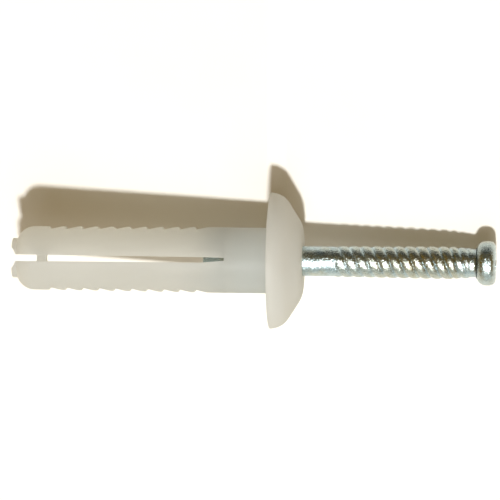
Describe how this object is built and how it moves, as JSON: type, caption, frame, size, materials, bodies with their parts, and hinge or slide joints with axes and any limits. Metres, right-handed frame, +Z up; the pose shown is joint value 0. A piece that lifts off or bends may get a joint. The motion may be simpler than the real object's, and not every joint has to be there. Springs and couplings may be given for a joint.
{
  "type": "nail-in wall anchor",
  "caption": "Split nylon wall sleeve with barbed legs and a mushroom head, part-driven threaded steel pin that spreads the legs.",
  "frame": {"origin": "centre of the mushroom head's bearing face, on the axis of the sleeve", "axes": "+X along the axis out of the wall, towards the pin's head; the sleeve's slot lies in the XZ plane, with one leg at +Y and one at -Y; +Z up"},
  "size_m": [0.0478, 0.0134, 0.0134],
  "materials": {
    "nylon": "moulded off-white nylon, slightly translucent, satin",
    "zinc_plated_steel": "bright zinc plating over rolled steel"
  },
  "bodies": {
    "sleeve": {"sleeve_head": "nylon"},
    "back_leg": {"leg_back": "nylon"},
    "front_leg": {"leg_front": "nylon", "tie_web": "nylon"},
    "pin": {"drive_pin": "zinc_plated_steel"}
  },
  "joints": [
    {"name": "pin_drive", "type": "slide", "parent": "sleeve", "child": "pin", "axis": [-1, 0, 0], "range_m": [0, 0.0171]},
    {"name": "leg_back_spread", "type": "hinge", "parent": "sleeve", "child": "back_leg", "pos_m": [-0.00435, 0.00323, 0], "axis": [0, 0, -1], "range_deg": [0, 2.4]},
    {"name": "leg_front_spread", "type": "hinge", "parent": "sleeve", "child": "front_leg", "pos_m": [-0.00435, -0.00323, 0], "axis": [0, 0, 1], "range_deg": [0, 2.4]}
  ],
  "couplings": [
    {"joint": "leg_back_spread", "follows": "pin_drive", "rad_per_m": 2.44},
    {"joint": "leg_front_spread", "follows": "pin_drive", "rad_per_m": 2.44}
  ]
}
